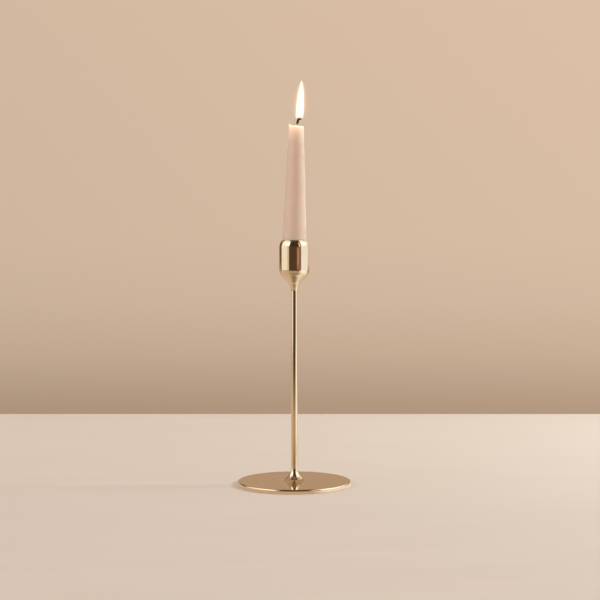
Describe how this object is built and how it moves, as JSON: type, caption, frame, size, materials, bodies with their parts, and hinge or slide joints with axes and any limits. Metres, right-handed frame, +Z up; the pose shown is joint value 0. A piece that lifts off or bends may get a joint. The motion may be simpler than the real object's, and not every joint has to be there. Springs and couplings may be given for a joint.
{
  "type": "brass candlestick",
  "caption": "Slim brass candlestick: thin round disc foot flaring into a rod stem, turned cup with rounded shoulder, holding a lit blush-pink taper candle.",
  "frame": {"origin": "centre of the felt pad's flat underside, on the table, on the axis of the foot and the stem", "axes": "+Z up along the stem; the candle leans about one degree towards +X; -Y faces the viewer"},
  "size_m": [0.106, 0.106, 0.376],
  "materials": {
    "foot_brass": "polished",
    "stem_brass": "polished",
    "cup_brass": "polished",
    "plated_steel": "satin",
    "felt": "matte",
    "wax": "satin",
    "wick": "matte",
    "flame": "matte"
  },
  "bodies": {
    "candlestick": {"felt_pad": "felt", "foot": "foot_brass", "foot_washer": "plated_steel", "foot_lock_washer": "plated_steel", "foot_nut": "plated_steel", "stem": "stem_brass", "candle_cup": "cup_brass"},
    "candle": {"taper_candle": "wax", "candle_wick": "wick", "candle_flame": "flame"}
  },
  "joints": [
    {"name": "candle_lift", "type": "slide", "parent": "candlestick", "child": "candle", "axis": [0, 0, 1], "range_m": [0, 0.03]}
  ]
}
